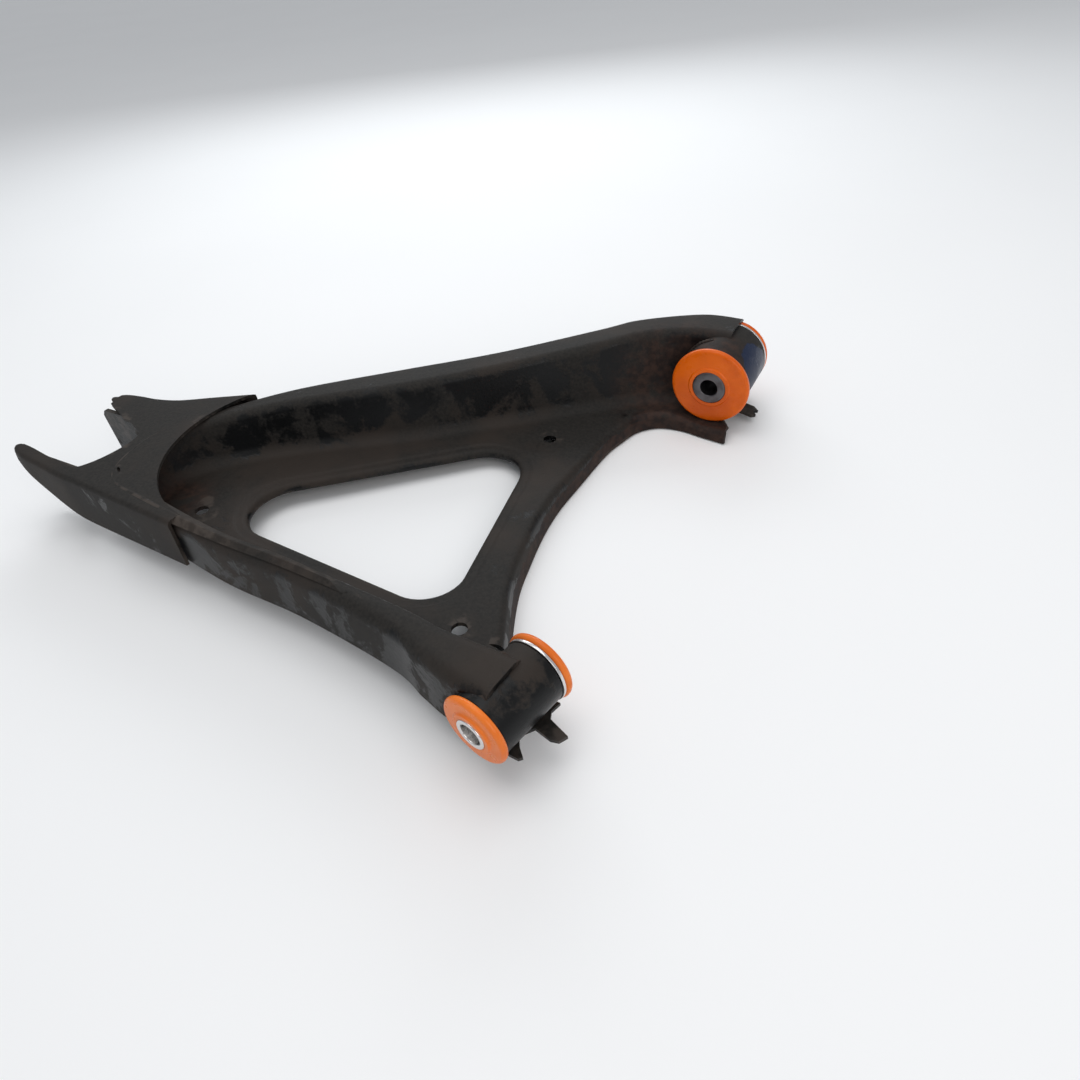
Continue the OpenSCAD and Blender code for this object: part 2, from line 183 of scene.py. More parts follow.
def corner_arc(a, b, c, r, n):
    """Points of the arc of radius r that rounds the corner b between a and c."""
    a, b, c = Vector(a), Vector(b), Vector(c)
    to_a, to_c = (a - b).normalized(), (c - b).normalized()
    half = to_a.angle(to_c) / 2
    mid = b + (to_a + to_c).normalized() * r / math.sin(half)
    start = b + to_a * r / math.tan(half) - mid
    end = b + to_c * r / math.tan(half) - mid
    a0 = math.atan2(start.y, start.x)
    sweep = (math.atan2(end.y, end.x) - a0 + math.pi) % (2 * math.pi) - math.pi
    return [mid + r * Vector((math.cos(a0 + sweep * i / n), math.sin(a0 + sweep * i / n)))
            for i in range(n + 1)]


def rounded(corners, radii, n, straight):
    """A polyline with rounded inner corners and its straight runs cut into equal parts."""
    knots = [[Vector(corners[0])]]
    for i, r in enumerate(radii, start=1):
        knots.append(corner_arc(corners[i - 1], corners[i], corners[i + 1], r, n))
    knots.append([Vector(corners[-1])])
    out = []
    for here, after in zip(knots, knots[1:]):
        out += here
        a, b = here[-1], after[0]
        out += [a.lerp(b, k / straight) for k in range(1, straight)]
    return out + knots[-1]


def new_object(name, bm, smooth_angle=35):
    mesh = bpy.data.meshes.new(name)
    bm.to_mesh(mesh)
    bm.free()
    obj = bpy.data.objects.new(name, mesh)
    bpy.context.scene.collection.objects.link(obj)
    mesh.shade_smooth()
    mesh.set_sharp_from_angle(angle=math.radians(smooth_angle))
    return obj


def apply_modifiers(obj):
    """Replaces the object's mesh by its evaluated mesh."""
    dg = bpy.context.evaluated_depsgraph_get()
    mesh = bpy.data.meshes.new_from_object(obj.evaluated_get(dg))
    obj.modifiers.clear()
    old = obj.data
    obj.data = mesh
    bpy.data.meshes.remove(old)
    mesh.shade_smooth()
    mesh.set_sharp_from_angle(angle=math.radians(35))


def strip(bm, rings):
    """Faces between equal rings of 3-D points, and the bmesh vertices of each ring."""
    verts = [[bm.verts.new(Vector(p) * MM) for p in ring] for ring in rings]
    for r0, r1 in zip(verts, verts[1:]):
        for j in range(len(r0) - 1):
            bm.faces.new((r0[j], r1[j], r1[j + 1], r0[j + 1]))
    return verts


def fill_region(bm, outer, holes, height, pitch, margin):
    """A triangulated plate: outer loop, hole loops and an inner grid, at height(x, y)."""
    points = [Vector(p) for p in outer]
    edges = [(i, (i + 1) % len(outer)) for i in range(len(outer))]
    for loop in holes:
        base = len(points)
        points += [Vector(p) for p in loop]
        edges += [(base + i, base + (i + 1) % len(loop)) for i in range(len(loop))]
    lo_x, hi_x = min(p[0] for p in outer), max(p[0] for p in outer)
    lo_y, hi_y = min(p[1] for p in outer), max(p[1] for p in outer)
    border = list(points)
    for row in range(int((hi_y - lo_y) / pitch)):
        for col in range(int((hi_x - lo_x) / pitch)):
            p = Vector((lo_x + (col + 0.5 + 0.5 * (row % 2)) * pitch, lo_y + (row + 0.5) * pitch))
            if not inside(p, outer) or any(inside(p, h) for h in holes):
                continue
            if min((p - q).length_squared for q in border) > margin * margin:
                points.append(p)
    found, _, faces, *_ = delaunay_2d_cdt(points, edges, [], 1, 1e-5)
    verts = [bm.verts.new(Vector((p.x, p.y, height(p.x, p.y))) * MM) for p in found]
    for f in faces:
        mid = sum((found[i] for i in f), Vector((0, 0))) / 3
        if inside(mid, outer) and not any(inside(mid, h) for h in holes):
            bm.faces.new([verts[i] for i in f])


def inside(p, loop):
    """Even-odd test of a plan point against a loop."""
    odd = False
    for a, b in zip(loop, loop[1:] + loop[:1]):
        if (a[1] > p[1]) != (b[1] > p[1]):
            if p[0] < a[0] + (p[1] - a[1]) / (b[1] - a[1]) * (b[0] - a[0]):
                odd = not odd
    return odd


def cylinder_cutter(centre, axis, radius, start, end):
    """A closed cylinder along axis, from start to end; cut_away deletes it after use."""
    bm = bmesh.new()
    bmesh.ops.create_cone(bm, cap_ends=True, segments=96, radius1=radius * MM,
                          radius2=radius * MM, depth=(end - start) * MM)
    turn = Vector(axis).to_track_quat("Z", "Y").to_matrix().to_4x4()
    place = Matrix.Translation((Vector(centre) + Vector(axis) * (start + end) / 2) * MM)
    bmesh.ops.transform(bm, matrix=place @ turn, verts=bm.verts)
    return new_object("cutter", bm)


def cut_away(obj, cutters):
    for c in cutters:
        m = obj.modifiers.new("cut", "BOOLEAN")
        m.operation = "DIFFERENCE"
        m.solver = "EXACT"
        m.object = c
    apply_modifiers(obj)
    for c in cutters:
        bpy.data.objects.remove(c)


def thicken(obj, thickness):
    m = obj.modifiers.new("sheet", "SOLIDIFY")
    m.thickness = thickness * MM
    m.offset = -1
    m.use_quality_normals = True
    apply_modifiers(obj)


def soften_edges(obj, width, segments=2):
    m = obj.modifiers.new("edges", "BEVEL")
    m.width = width * MM
    m.segments = segments
    m.limit_method = "ANGLE"
    m.angle_limit = math.radians(40)
    m.use_clamp_overlap = True


# ---- the main pressing ----

def beam_ring(s):
    foot, top_out = Vector(s[:2]), Vector(s[2:4])
    out = (top_out - foot).normalized()
    width = (top_out - foot).length
    low, top = web_z(s[1]), s[4]
    corners = [(-12.5, low), (0, low), (WALL_RUN, top), (width, top - 0.3), (width + 1.5, s[5])]
    ring = []
    for u, z in rounded(corners, [ROOT_R, CREST_R, CREST_R + 1], 7, 3):
        p = foot + out * u
        fade = min(1, max(0, (top - z) / (top - low)))
        ring.append((p.x, p.y, z + (web_z(p.y) - low) * fade))
    return ring


def skirt_ring(s):
    crease, faced = Vector(s[:2]), Vector(s[2:4])
    out = (faced - crease).normalized()
    low = web_z(s[1])
    corners = [(-9, low), (0, low), (2.5, -SKIRT_LOW)]
    ring = []
    for u, z in rounded(corners, [6], 7, 3):
        p = crease + out * u
        ring.append((p.x, p.y, z + (web_z(p.y) - low if u < -5 else 0)))
    return ring


def window_loop():
    """The window's outline with rounded corners."""
    out = []
    for i, r in enumerate(WINDOW_R):
        out += corner_arc(WINDOW[i - 1], WINDOW[i], WINDOW[(i + 1) % 3], r, 12)
    return out


def grown(loop, distance):
    """The loop moved outwards by distance."""
    count = len(loop)
    mid = sum(loop, Vector((0, 0))) / count
    out = []
    for i, p in enumerate(loop):
        along = (loop[(i + 1) % count] - loop[i - 1]).normalized()
        normal = Vector((along.y, -along.x))
        if normal.dot(p - mid) < 0:
            normal = -normal
        out.append(p + normal * distance)
    return out


def dense(loop, pitch):
    """The loop with its long runs cut to about pitch."""
    out = []
    for a, b in zip(loop, loop[1:] + loop[:1]):
        n = max(1, round((b - a).length / pitch))
        out += [a.lerp(b, k / n) for k in range(n)]
    return out


def saddle_dip(x, y):
    """How far the sheet drops to pass under the front bush's inner flange."""
    across = max(0, 1 - (x / 30) ** 2)
    along = min(1, max(0, (y - 20) / 7))
    return -5.2 * across * along * along * (3 - 2 * along)


def make_pressing():
    bm = bmesh.new()
    beam = [beam_ring(s) for s in smooth(FRONT_BEAM + NOSE + REAR_BEAM, 8)]
    skirt = [skirt_ring(s) for s in smooth(SKIRT, 6)]
    strip(bm, beam)
    strip(bm, [list(r) for r in reversed(skirt)])
    base = dense(window_loop(), 6)
    # The window's edge rolls down, with a shallow channel round it.
    lip = [(0.6, -7.5), (0.4, -5.5), (0.9, -3.8), (2.0, -2.2), (3.8, -1.3), (6.0, -1.0),
           (8.5, -1.0), (9.8, -0.7), (11.0, -0.2), (12.0, 0)]
    rings = []
    for grow, drop in lip:
        ring = [(q.x, q.y, web_z(q.y) + drop) for q in grown(base, grow)]
        rings.append(ring + ring[:1])
    strip(bm, rings)
    window_edge = [Vector(p[:2]) for p in rings[-1][:-1]]
    outer = [Vector(r[0][:2]) for r in beam] + [Vector(r[0][:2]) for r in reversed(skirt)]
    holes = [window_edge]
    for hx, hy in WEB_HOLES:
        holes.append([Vector((hx + HOLE_R * math.cos(a * math.pi / 16),
                              hy + HOLE_R * math.sin(a * math.pi / 16))) for a in range(32)])
    fill_region(bm, outer, holes, lambda x, y: web_z(y), 7, 3)
    bmesh.ops.remove_doubles(bm, verts=bm.verts, dist=2e-5)
    for v in bm.verts:
        x, y = v.co.x / MM, v.co.y / MM
        if y < 60 and v.co.z / MM < -20:
            v.co.z += saddle_dip(x, y) * MM * min(1, max(0, (v.co.z / MM + 38) / 7))
    bmesh.ops.recalc_face_normals(bm, faces=bm.faces)
    flat = [f for f in bm.faces if abs(f.normal.z) > 0.9]
    if sum(f.normal.z * f.calc_area() for f in flat) < 0:
        bmesh.ops.reverse_faces(bm, faces=bm.faces)
    obj = new_object("arm_pressing", bm)
    thicken(obj, SHEET)
    cut_away(obj, [
        cylinder_cutter((0, 0, 0), (0, 1, 0), FRONT_TUBE_R + 0.05, -FRONT_HALF - 30, FRONT_HALF + 30),
        cylinder_cutter((0, 0, 0), (0, 1, 0), FRONT_FLANGE_R + 0.4, 26.6, 90),
        cylinder_cutter(REAR_BUSH_AT, REAR_AXIS, REAR_TUBE_R + 0.05, -50, 50),
        cylinder_cutter(REAR_BUSH_AT, REAR_AXIS, REAR_FLANGE_R + 0.4, -90, -21.8),
    ])
    soften_edges(obj, 0.5)
    return obj


# ---- the fork cap ----

def tapered_tip(stations):
    """Rounds off the end of an ear, without making it longer."""
    last = stations[-1]
    middle = [(Vector(s[:2]) + Vector(s[2:4])) / 2 for s in stations]
    ahead = (middle[-1] - middle[-4]).normalized()
    half = (Vector(last[2:4]) - Vector(last[:2])) / 2
    at = middle[-1] - ahead * half.length
    kept = [s for s, m in zip(stations, middle) if (m - at).dot(ahead) < -0.5]
    for deg in (0, 30, 55, 75):
        t = math.radians(deg)
        m = at + ahead * half.length * math.sin(t)
        a, b = m - half * math.cos(t), m + half * math.cos(t)
        kept.append((a.x, a.y, b.x, b.y, last[4] + 1.2 * math.sin(t)))
    return kept


def cap_ring(s):
    start, top_out = Vector(s[:2]), Vector(s[2:4])
    out = (top_out - start).normalized()
    width = (top_out - start).length
    r = min(CAP_R, width * 0.45, (CAP_TOP - s[4]) * 0.6)
    corners = [(0, CAP_TOP), (width, CAP_TOP), (width + 1.5, s[4])]
    ring = []
    for u, z in rounded(corners, [r], 7, 4):
        p = start + out * u
        ring.append((p.x, p.y, z))
    return ring


def make_cap():
    bm = bmesh.new()
    steps = 6
    front = tapered_tip(smooth(CAP_FRONT, steps))
    rear = tapered_tip(smooth(CAP_REAR, steps))
    rings_f, rings_r = [cap_ring(s) for s in front], [cap_ring(s) for s in rear]
    strip(bm, rings_f)
    strip(bm, rings_r)
    root = 3 * steps
    ear_in_f = [Vector(r[0][:2]) for r in rings_f[:root + 1]]
    ear_in_r = [Vector(r[0][:2]) for r in rings_r[:root + 1]]
    knots = [tuple(ear_in_f[-1])] + SCOOP + [tuple(ear_in_r[-1])]
    scoop = [Vector(p) for p in smooth(knots, 6)][1:-1]
    outer = ear_in_f + scoop + list(reversed(ear_in_r))
    slot = []
    for a in range(16):
        t = a * math.pi / 8
        p = Matrix.Rotation(math.radians(-30), 2) @ Vector((4 * math.cos(t), 1.1 * math.sin(t)))
        slot.append(Vector(SLOT_AT) + p)
    fill_region(bm, outer, [slot], lambda x, y: CAP_TOP, 8, 3)
    bmesh.ops.remove_doubles(bm, verts=bm.verts, dist=2e-5)
    bmesh.ops.recalc_face_normals(bm, faces=bm.faces)
    if sum(f.normal.z * f.calc_area() for f in bm.faces) < 0:
        bmesh.ops.reverse_faces(bm, faces=bm.faces)
    obj = new_object("arm_cap", bm)
    thicken(obj, CAP_T)
    arc_at = (CAP_ARC_AT[0], CAP_ARC_AT[1], 0)
    cut_away(obj, [cylinder_cutter(arc_at, (0, 0, 1), CAP_ARC_R, -80, 80)])
    soften_edges(obj, 0.8, 3)
    return obj


# ---- turned parts ----

def lathe(name, profile, centre, axis, segments=128):
    """A closed solid of revolution from a loop of (radius, along) points."""
    bm = bmesh.new()
    axis = Vector(axis).normalized()
    side = axis.orthogonal().normalized()
    up = axis.cross(side)
    rings = []
    for i in range(segments):
        t = 2 * math.pi * i / segments
        ray = side * math.cos(t) + up * math.sin(t)
        rings.append([bm.verts.new((Vector(centre) + axis * z + ray * r) * MM) for r, z in profile])
    n = len(profile)
    for a, b in zip(rings, rings[1:] + rings[:1]):
        for j in range(n):
            k = (j + 1) % n
            bm.faces.new((a[j], b[j], b[k], a[k]))
    bmesh.ops.recalc_face_normals(bm, faces=bm.faces)
    return new_object(name, bm, 30)


def round_profile(corners, radii, n=5):
    """A closed profile with each corner rounded by its own radius."""
    out = []
    count = len(corners)
    for i, r in enumerate(radii):
        if r <= 0:
            out.append(Vector(corners[i]))
        else:
            out += corner_arc(corners[i - 1], corners[i], corners[(i + 1) % count], r, n)
    return out


def flat_bush(name, half, flange_r, flange_t, spigot_r, bore_r, boss_r, boss_h, centre, axis):
    corners = [
        (bore_r, 0.3), (spigot_r, 0.3), (spigot_r, half - flange_t), (flange_r, half - flange_t),
        (flange_r, half), (boss_r + 0.8, half), (boss_r, half + boss_h), (bore_r, half + boss_h),
    ]
    radii = [0, 0.4, 0.5, 2.2, 2.6, 1.2, 0.5, 0.4]
    return lathe(name, round_profile(corners, radii), centre, axis)


def grooved_bush(name, half, flange_r, flange_t, spigot_r, bore_r, groove, hub_h, centre, axis):
    out_r, in_r, deep = groove
    corners = [
        (bore_r, 0.3), (spigot_r, 0.3), (spigot_r, half - flange_t), (flange_r, half - flange_t),
        (flange_r, half), (out_r, half), (out_r - deep * 0.35, half - deep), (in_r, half - deep),
        (in_r - 0.4, half + hub_h), (bore_r, half + hub_h),
    ]
    radii = [0, 0.4, 0.5, 2.2, 2.6, 1.4, 1.4, 1.2, 0.6, 0.4]
    return lathe(name, round_profile(corners, radii), centre, axis)


def tube(name, outer, inner, start, end, centre, axis, edge=0.5):
    corners = [(inner, start), (outer, start), (outer, end), (inner, end)]
    return lathe(name, round_profile(corners, [edge] * 4, 4), centre, axis)


def make_turned_parts():
    """Tubes, bushes, sleeves and rings, by node name."""
    y_axis, origin = (0, 1, 0), (0, 0, 0)
    back = tuple(-REAR_AXIS)
    front_id, rear_id = FRONT_TUBE_R - TUBE_WALL, REAR_TUBE_R - TUBE_WALL
    front_ends = (-24.8, 27)
    rear_ends = (-21.8, 24)
    front_bore, rear_bore = FRONT_SLEEVE_R + 0.05, REAR_SLEEVE_R + 0.05
    return {
        "front_tube": tube("front_tube_body", FRONT_TUBE_R, front_id, *front_ends, origin, y_axis, 0.8),
        "rear_tube": tube("rear_tube_body", REAR_TUBE_R, rear_id, *rear_ends, REAR_BUSH_AT, REAR_AXIS, 0.8),
        "front_inner_bush": flat_bush("front_bush_inner", FRONT_HALF, FRONT_FLANGE_R, 5.9,
                                      front_id - 0.05, front_bore, 17, 1.0, origin, y_axis),
        "front_outer_bush": grooved_bush("front_bush_outer", FRONT_HALF, FRONT_TUBE_R, 5.9,
                                         front_id - 0.05, front_bore, (24, 17, 9), 1.0, origin,
                                         (0, -1, 0)),
        "rear_outer_bush": flat_bush("rear_bush_outer", REAR_HALF, REAR_FLANGE_R, 4.9,
                                     rear_id - 0.05, rear_bore, 13, 1.4, REAR_BUSH_AT, REAR_AXIS),
        "rear_inner_bush": grooved_bush("rear_bush_inner", REAR_HALF, REAR_FLANGE_R, 4.9,
                                        rear_id - 0.05, rear_bore, (17.5, 12.5, 3), 1.0,
                                        REAR_BUSH_AT, back),
        "front_sleeve": tube("front_sleeve_steel", FRONT_SLEEVE_R, BORE_R, -34.5, 34.5,
                             origin, y_axis, 1.1),
        "rear_sleeve": tube("rear_sleeve_steel", REAR_SLEEVE_R, BORE_R, -31, 31,
                            REAR_BUSH_AT, REAR_AXIS, 0.7),
        "front_ring": tube("front_ring_steel", FRONT_TUBE_R, front_id + 0.1, -26.9, -24.9,
                           origin, y_axis, 0.4),
        "rear_ring": tube("rear_ring_steel", REAR_TUBE_R + 0.75, rear_id + 0.1, -23.9, -21.9,
                          REAR_BUSH_AT, REAR_AXIS, 0.4),
    }


# ---- welds ----

def weld_bead(name, path, radius, ripple, sides=12):
    """A rippled bead along a path of (point, outward) pairs, tapered at both ends."""
    bm = bmesh.new()
    rings = []
    count = len(path)
    for i, (p, out) in enumerate(path):
        ahead = (path[min(i + 1, count - 1)][0] - path[max(i - 1, 0)][0]).normalized()
        across = ahead.cross(out).normalized()
        taper = min(1, 0.25 + 5 * min(i, count - 1 - i) / count)
        r = radius * taper * (1 + ripple * math.sin(i * 1.35) + 0.4 * ripple * math.sin(i * 0.37))
        rings.append([bm.verts.new((p + (across * math.cos(t) + out * 0.6 * math.sin(t)) * r) * MM)
                      for t in (2 * math.pi * k / sides for k in range(sides))])
    for a, b in zip(rings, rings[1:]):
        for j in range(sides):
            k = (j + 1) % sides
            bm.faces.new((a[j], b[j], b[k], a[k]))
    bm.faces.new(reversed(rings[0]))
    bm.faces.new(rings[-1])
    bmesh.ops.recalc_face_normals(bm, faces=bm.faces)
    return new_object(name, bm, 60)


def on_front_tube(theta, y, r=FRONT_TUBE_R + 0.2):
    """A point on the front tube, theta degrees from straight up towards +X."""
    t = math.radians(theta)
    out = Vector((math.sin(t), 0, math.cos(t)))
    return Vector((0, y, 0)) + out * r, out


def on_rear_tube(theta, along, r=REAR_TUBE_R + 0.2):
    t = math.radians(theta)
    side = Vector((REAR_AXIS.y, -REAR_AXIS.x, 0))
    out = side * math.sin(t) + Vector((0, 0, math.cos(t)))
    return REAR_BUSH_AT + REAR_AXIS * along + out * r, out


def make_welds():
    front = []
    for i in range(61):
        theta = 12 + i * 1.2
        height = FRONT_TUBE_R * math.cos(math.radians(theta))
        front.append(on_front_tube(theta, 12.2 - 5 * (height + 29) / 62))
    rear = []
    for i in range(71):
        theta = 20 + i * 1.4
        height = REAR_TUBE_R * math.cos(math.radians(theta))
        rear.append(on_rear_tube(theta, -15.5 + 5.5 * (height + 17) / 40))
    return {
        "front_tube_weld": weld_bead("front_tube_bead", front, 2.3, 0.12),
        "rear_tube_weld": weld_bead("rear_tube_bead", rear, 1.8, 0.12),
    }


# ---- materials ----

class Nodes:
    """Short helpers for building one node material."""

    def __init__(self, name):
        self.mat = bpy.data.materials.new(name)
        self.mat.use_nodes = True
        self.tree = self.mat.node_tree
        self.shader = self.tree.nodes["Principled BSDF"]
        self.at = self.add("ShaderNodeTexCoord").outputs["Object"]

    def add(self, kind, **settings):
        node = self.tree.nodes.new(kind)
        for key, value in settings.items():
            setattr(node, key, value)
        return node

    def link(self, a, b):
        self.tree.links.new(a, b)

    def put(self, socket, value):
        if isinstance(value, bpy.types.NodeSocket):
            self.link(value, socket)
        else:
            socket.default_value = value

    def noise(self, scale, detail=4, rough=0.55, distort=0.0, stretch=None):
        n = self.add("ShaderNodeTexNoise")
        n.inputs["Scale"].default_value = scale
        n.inputs["Detail"].default_value = detail
        n.inputs["Roughness"].default_value = rough
        n.inputs["Distortion"].default_value = distort
        if stretch:
            m = self.add("ShaderNodeMapping")
            m.inputs["Scale"].default_value = stretch[:3]
            if len(stretch) > 3:
                m.inputs["Rotation"].default_value = (0, 0, stretch[3])
            self.link(self.at, m.inputs["Vector"])
            self.link(m.outputs[0], n.inputs["Vector"])
        else:
            self.link(self.at, n.inputs["Vector"])
        return n.outputs["Fac"]

    def ramp(self, value, low, high, a=0.0, b=1.0):
        n = self.add("ShaderNodeMapRange", interpolation_type="SMOOTHSTEP")
        self.put(n.inputs["Value"], value)
        n.inputs["From Min"].default_value = low
        n.inputs["From Max"].default_value = high
        n.inputs["To Min"].default_value = a
        n.inputs["To Max"].default_value = b
        return n.outputs["Result"]

    def math(self, op, a, b=0.0, clamp=False):
        n = self.add("ShaderNodeMath", operation=op, use_clamp=clamp)
        self.put(n.inputs[0], a)
        self.put(n.inputs[1], b)
        return n.outputs[0]

    def mix(self, fac, a, b):
        n = self.add("ShaderNodeMix", data_type="RGBA")
        self.put(n.inputs["Factor"], fac)
        self.put(n.inputs["A"], a if isinstance(a, bpy.types.NodeSocket) else (*a, 1))
        self.put(n.inputs["B"], b if isinstance(b, bpy.types.NodeSocket) else (*b, 1))
        return n.outputs["Result"]

    def axis(self, name):
        n = self.add("ShaderNodeSeparateXYZ")
        self.link(self.at, n.inputs[0])
        return n.outputs[name]

    def facing_up(self):
        n = self.add("ShaderNodeSeparateXYZ")
        self.link(self.add("ShaderNodeNewGeometry").outputs["Normal"], n.inputs[0])
        return n.outputs["Z"]

    def near(self, point, inner, outer):
        """1 within inner of a point, in metres, and 0 beyond outer."""
        n = self.add("ShaderNodeVectorMath", operation="DISTANCE")
        self.link(self.at, n.inputs[0])
        n.inputs[1].default_value = point
        return self.ramp(n.outputs["Value"], inner, outer, 1.0, 0.0)

    def edges(self, low, high):
        geo = self.add("ShaderNodeNewGeometry")
        return self.ramp(geo.outputs["Pointiness"], low, high)

    def bump(self, height, strength, distance, onto=None):
        n = self.add("ShaderNodeBump")
        n.inputs["Strength"].default_value = strength
        n.inputs["Distance"].default_value = distance
        self.link(height, n.inputs["Height"])
        if onto:
            self.link(onto, n.inputs["Normal"])
        return n.outputs["Normal"]

    def finish(self, color, rough, normal=None, metallic=0.0):
        s = self.shader
        self.put(s.inputs["Base Color"], color if isinstance(color, bpy.types.NodeSocket) else (*color, 1))
        self.put(s.inputs["Roughness"], rough)
        self.put(s.inputs["Metallic"], metallic)
        s.inputs["Specular IOR Level"].default_value = 0.5 if metallic else 0.2
        if normal:
            self.link(normal, s.inputs["Normal"])
        return self.mat


def worn_paint(name, dust=0.5, rust=0.0, rust_spots=(), blue=None, skirt=False):
    """Black paint with glossy patches, brown road dust, rust and wear along edges."""
    n = Nodes(name)
    up = n.facing_up()
    patches = n.noise(34, 7, 0.62, 0.35)
    streaks = n.noise(22, 6, 0.6, 0.2, (1, 1, 0.35))
    fine = n.noise(420, 5, 0.6)
    broad = n.noise(9, 3, 0.5)
    cover = n.math("ADD", n.math("MULTIPLY", patches, 0.75), n.math("MULTIPLY", streaks, 0.35))
    cover = n.math("ADD", cover, n.math("MULTIPLY", up, 0.16))
    cover = n.math("ADD", cover, n.math("MULTIPLY", n.math("SUBTRACT", fine, 0.5), 0.12))
    dusty = n.ramp(cover, 0.66 - 0.25 * dust, 0.76 - 0.25 * dust)
    paint = n.mix(n.ramp(broad, 0.35, 0.65), (0.0035, 0.0036, 0.0038), (0.0065, 0.0068, 0.0072))
    film = n.mix(n.ramp(fine, 0.3, 0.7), (0.014, 0.0125, 0.011), (0.026, 0.023, 0.020))
    film = n.mix(n.ramp(n.noise(13, 4), 0.42, 0.66), film, (0.033, 0.025, 0.020))
    color = n.mix(n.math("MULTIPLY", dusty, 0.88), paint, film)
    rusty = n.ramp(n.noise(75, 7, 0.65), 0.80 - 0.35 * rust, 0.92 - 0.35 * rust)
    for point, inner, outer in rust_spots:
        spot = n.math("MULTIPLY", n.near(point, inner, outer), n.ramp(n.noise(60, 7, 0.65), 0.34, 0.56))
        rusty = n.math("MAXIMUM", rusty, spot)
    if skirt:
        jag = n.math("MULTIPLY", n.math("SUBTRACT", n.noise(55, 6, 0.7), 0.5), 0.012)
        line = n.math("ADD", n.axis("Z"), jag)
        inboard = n.ramp(n.axis("X"), 0.072, 0.076, 1.0, 0.0)
        band = n.math("MULTIPLY", n.ramp(line, -0.0318, -0.0308, 1.0, 0.0), inboard)
        rusty = n.math("MAXIMUM", rusty, n.math("MULTIPLY", band, 0.8))
    rust_color = n.mix(n.ramp(n.noise(160, 6), 0.35, 0.65), (0.019, 0.0105, 0.0085), (0.046, 0.024, 0.017))
    color = n.mix(n.math("MULTIPLY", rusty, 0.85), color, rust_color)
    worn = n.math("MULTIPLY", n.edges(0.52, 0.58), n.ramp(n.noise(90, 5), 0.42, 0.6))
    color = n.mix(n.math("MULTIPLY", worn, 0.55), color, (0.075, 0.06, 0.05))
    dull = n.math("MAXIMUM", dusty, rusty)
    if blue:
        point, inner, outer = blue
        jag = n.math("MULTIPLY", n.math("SUBTRACT", n.noise(110, 6, 0.7), 0.5), 0.9)
        chip = n.math("ADD", n.near(point, inner, outer), jag)
        chip = n.ramp(chip, 0.42, 0.52)
        color = n.mix(chip, color, (0.0048, 0.0125, 0.041))
        dull = n.math("MULTIPLY", dull, n.math("SUBTRACT", 1.0, n.math("MULTIPLY", chip, 0.6)))
    rough = n.ramp(dull, 0.0, 1.0, 0.33, 0.66)
    rough = n.math("ADD", rough, n.math("MULTIPLY", n.math("SUBTRACT", fine, 0.5), 0.12))
    grain = n.bump(fine, 0.22, 0.0006)
    film_edge = n.bump(n.math("ADD", n.math("MULTIPLY", dull, 0.5), patches), 0.25, 0.0012, grain)
    return n.finish(color, rough, film_edge)


def weld_material():
    n = Nodes("weld")
    lumps = n.noise(260, 6, 0.65)
    color = n.mix(n.ramp(lumps, 0.35, 0.65), (0.016, 0.0115, 0.010), (0.042, 0.028, 0.021))
    return n.finish(color, n.ramp(lumps, 0.3, 0.7, 0.45, 0.75), n.bump(lumps, 0.6, 0.001))


def orange(name, base, deep):
    """Cast polyurethane: glossy, a little uneven, grimy in places."""
    n = Nodes(name)
    cloud = n.noise(26, 4, 0.55)
    color = n.mix(n.ramp(cloud, 0.3, 0.7), deep, base)
    grime = n.ramp(n.noise(70, 6, 0.7), 0.62, 0.78)
    color = n.mix(n.math("MULTIPLY", grime, 0.28), color, (0.10, 0.035, 0.014))
    rough = n.ramp(n.noise(140, 4), 0.3, 0.7, 0.24, 0.38)
    s = n.shader
    s.inputs["Subsurface Weight"].default_value = 0.12
    s.inputs["Subsurface Radius"].default_value = (0.004, 0.0015, 0.0006)
    s.inputs["Coat Weight"].default_value = 0.1
    s.inputs["Coat Roughness"].default_value = 0.15
    return n.finish(color, rough, n.bump(n.noise(320, 3), 0.06, 0.0005))


def steel(name, base, rough_low, rough_high, stain):
    n = Nodes(name)
    cloud = n.noise(90, 5, 0.6)
    rings = n.noise(600, 3, 0.5)
    color = n.mix(n.math("MULTIPLY", n.ramp(cloud, 0.45, 0.75), 0.6), base, stain)
    rough = n.ramp(cloud, 0.3, 0.7, rough_low, rough_high)
    return n.finish(color, rough, n.bump(rings, 0.08, 0.0003), 1.0)


# ---- assembly ----

def dress(piece, body, node, material):
    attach(piece, body)
    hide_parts(node)
    piece.data.materials.clear()
    piece.data.materials.append(material)


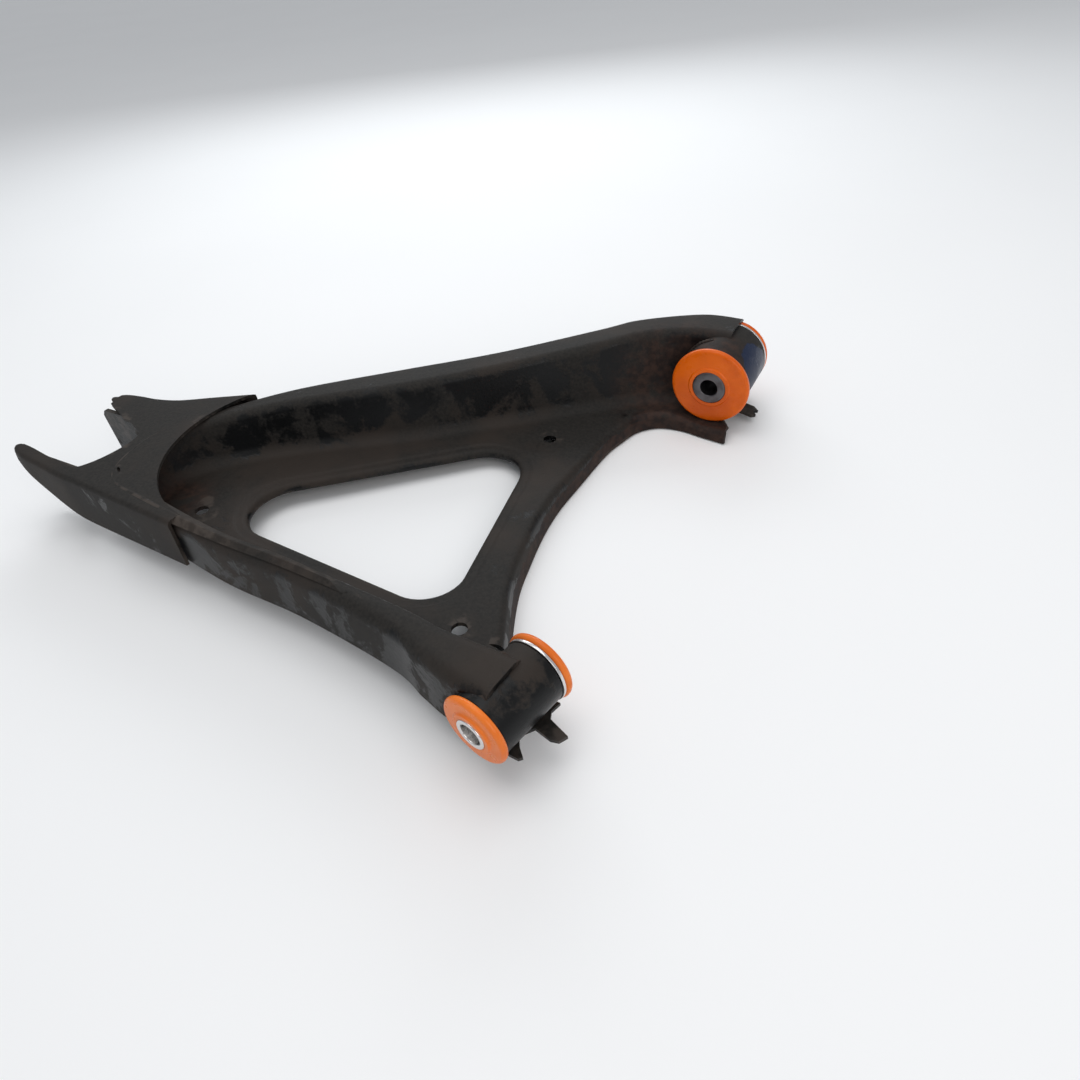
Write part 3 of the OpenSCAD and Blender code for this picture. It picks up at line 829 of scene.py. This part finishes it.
def build_object():
    bush_zone = (0.028, 0.030, -0.005)
    hollow = (0.352, 0.310, -0.010)
    pressing_paint = worn_paint("pressing_paint", dust=0.52, rust=0.08, skirt=True, rust_spots=[
        (bush_zone, 0.030, 0.068), (hollow, 0.012, 0.045), ((0.0, 0.045, -0.035), 0.015, 0.035),
    ])
    cap_paint = worn_paint("cap_paint", dust=0.95, rust=0.12)
    lug_paint = worn_paint("lug_paint", dust=0.25, rust=0.25)
    front_tube_paint = worn_paint("front_tube_paint", dust=0.7, rust=0.2,
                                  blue=((-0.031, 0.002, 0.006), 0.014, 0.030),
                                  rust_spots=[((0.0, 0.020, 0.030), 0.010, 0.035)])
    rear_tube_paint = worn_paint("rear_tube_paint", dust=0.25, rust=0.15)
    bead = weld_material()
    front_orange = orange("front_orange", (0.78, 0.135, 0.002), (0.60, 0.088, 0.002))
    # Same polyurethane as the front bushes, made paler and whiter: painted sheen, not a different colour
    rear_orange_painted_sheen = orange("rear_orange_painted_sheen", (0.86, 0.21, 0.028), (0.72, 0.15, 0.016))
    dark_steel = steel("dark_steel", (0.13, 0.125, 0.13), 0.32, 0.5, (0.045, 0.03, 0.028))
    bright_steel = steel("bright_steel", (0.72, 0.71, 0.70), 0.18, 0.34, (0.42, 0.36, 0.34))
    dress(make_pressing(), "arm", "pressing", pressing_paint)
    dress(make_cap(), "arm", "fork_cap", cap_paint)
    looks = {
        "front_tube": ("black_paint", front_tube_paint), "rear_tube": ("black_paint", rear_tube_paint),
        "front_sleeve": ("dark_steel", dark_steel), "rear_sleeve": ("bright_steel", bright_steel),
        "front_ring": ("bright_steel", bright_steel), "rear_ring": ("bright_steel", bright_steel),
        "front_inner_bush": ("polyurethane", front_orange),
        "front_outer_bush": ("polyurethane", front_orange),
        "rear_inner_bush": ("polyurethane", rear_orange_painted_sheen),
        "rear_outer_bush": ("polyurethane", rear_orange_painted_sheen),
    }
    for node, piece in make_turned_parts().items():
        body = node if node.endswith("_sleeve") else "arm"
        slot, material = looks[node]
        dress(piece, body, node, material)
    for node, piece in make_welds().items():
        dress(piece, "arm", node, bead)
    for node in ("clevis_front_lug", "clevis_rear_lug", "front_tab", "rear_tab"):
        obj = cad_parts[node]
        soften_edges(obj, 0.5)
        obj.data.materials.clear()
        obj.data.materials.append(lug_paint)


# ---- floor, light and camera ----

def make_floor(level):
    bm = bmesh.new()
    bmesh.ops.create_grid(bm, x_segments=1, y_segments=1, size=40)
    bmesh.ops.translate(bm, vec=(0, 0, level), verts=bm.verts)
    floor = new_object("floor", bm)
    n = Nodes("floor")
    shade = n.noise(3, 2)
    n.finish(n.mix(shade, (0.90, 0.90, 0.90), (0.93, 0.93, 0.93)), 0.8)
    floor.data.materials.append(n.mat)


def area_light(name, at, target, size, power, color=(1, 1, 1)):
    data = bpy.data.lights.new(name, "AREA")
    data.shape = "RECTANGLE"
    data.size, data.size_y = size
    data.energy = power
    data.color = color
    obj = bpy.data.objects.new(name, data)
    bpy.context.scene.collection.objects.link(obj)
    obj.location = at
    obj.rotation_mode = "QUATERNION"
    obj.rotation_quaternion = (Vector(target) - Vector(at)).to_track_quat("-Z", "Y")


def make_light():
    world = bpy.data.worlds.new("studio")
    world.use_nodes = True
    back = world.node_tree.nodes["Background"]
    back.inputs["Color"].default_value = (0.93, 0.96, 1.0, 1)
    back.inputs["Strength"].default_value = 0.5
    bpy.context.scene.world = world
    middle = (0.2, 0.2, 0)
    area_light("overhead", (0.25, 0.15, 1.6), middle, (1.6, 1.2), 11)
    area_light("side", (-1.1, 1.0, 0.9), middle, (0.9, 0.9), 6, (1.0, 0.97, 0.94))
    area_light("rim", (0.9, -1.0, 0.8), middle, (1.4, 0.5), 7, (0.93, 0.97, 1.0))


def make_camera():
    """The viewing angle: from inboard and behind, looking down on the arm."""
    data = bpy.data.cameras.new("camera")
    data.sensor_width = 36
    data.lens = 25.367
    data.clip_start = 0.01
    cam = bpy.data.objects.new("camera", data)
    bpy.context.scene.collection.objects.link(cam)
    right = Vector((-0.8752, -0.4752, -0.0907)).normalized()
    back = Vector((-0.4099, 0.6287, 0.6608)).normalized()
    up = back.cross(right).normalized()
    right = up.cross(back)
    turn = Matrix((right, up, back)).transposed().to_4x4()
    cam.matrix_world = Matrix.Translation((-0.1689, 0.5752, 0.3362)) @ turn
    bpy.context.scene.camera = cam


make_camera()
build_object()
make_floor(CAD_BOX[0].z - 0.0005)
make_light()
bpy.context.scene.view_settings.view_transform = "Standard"
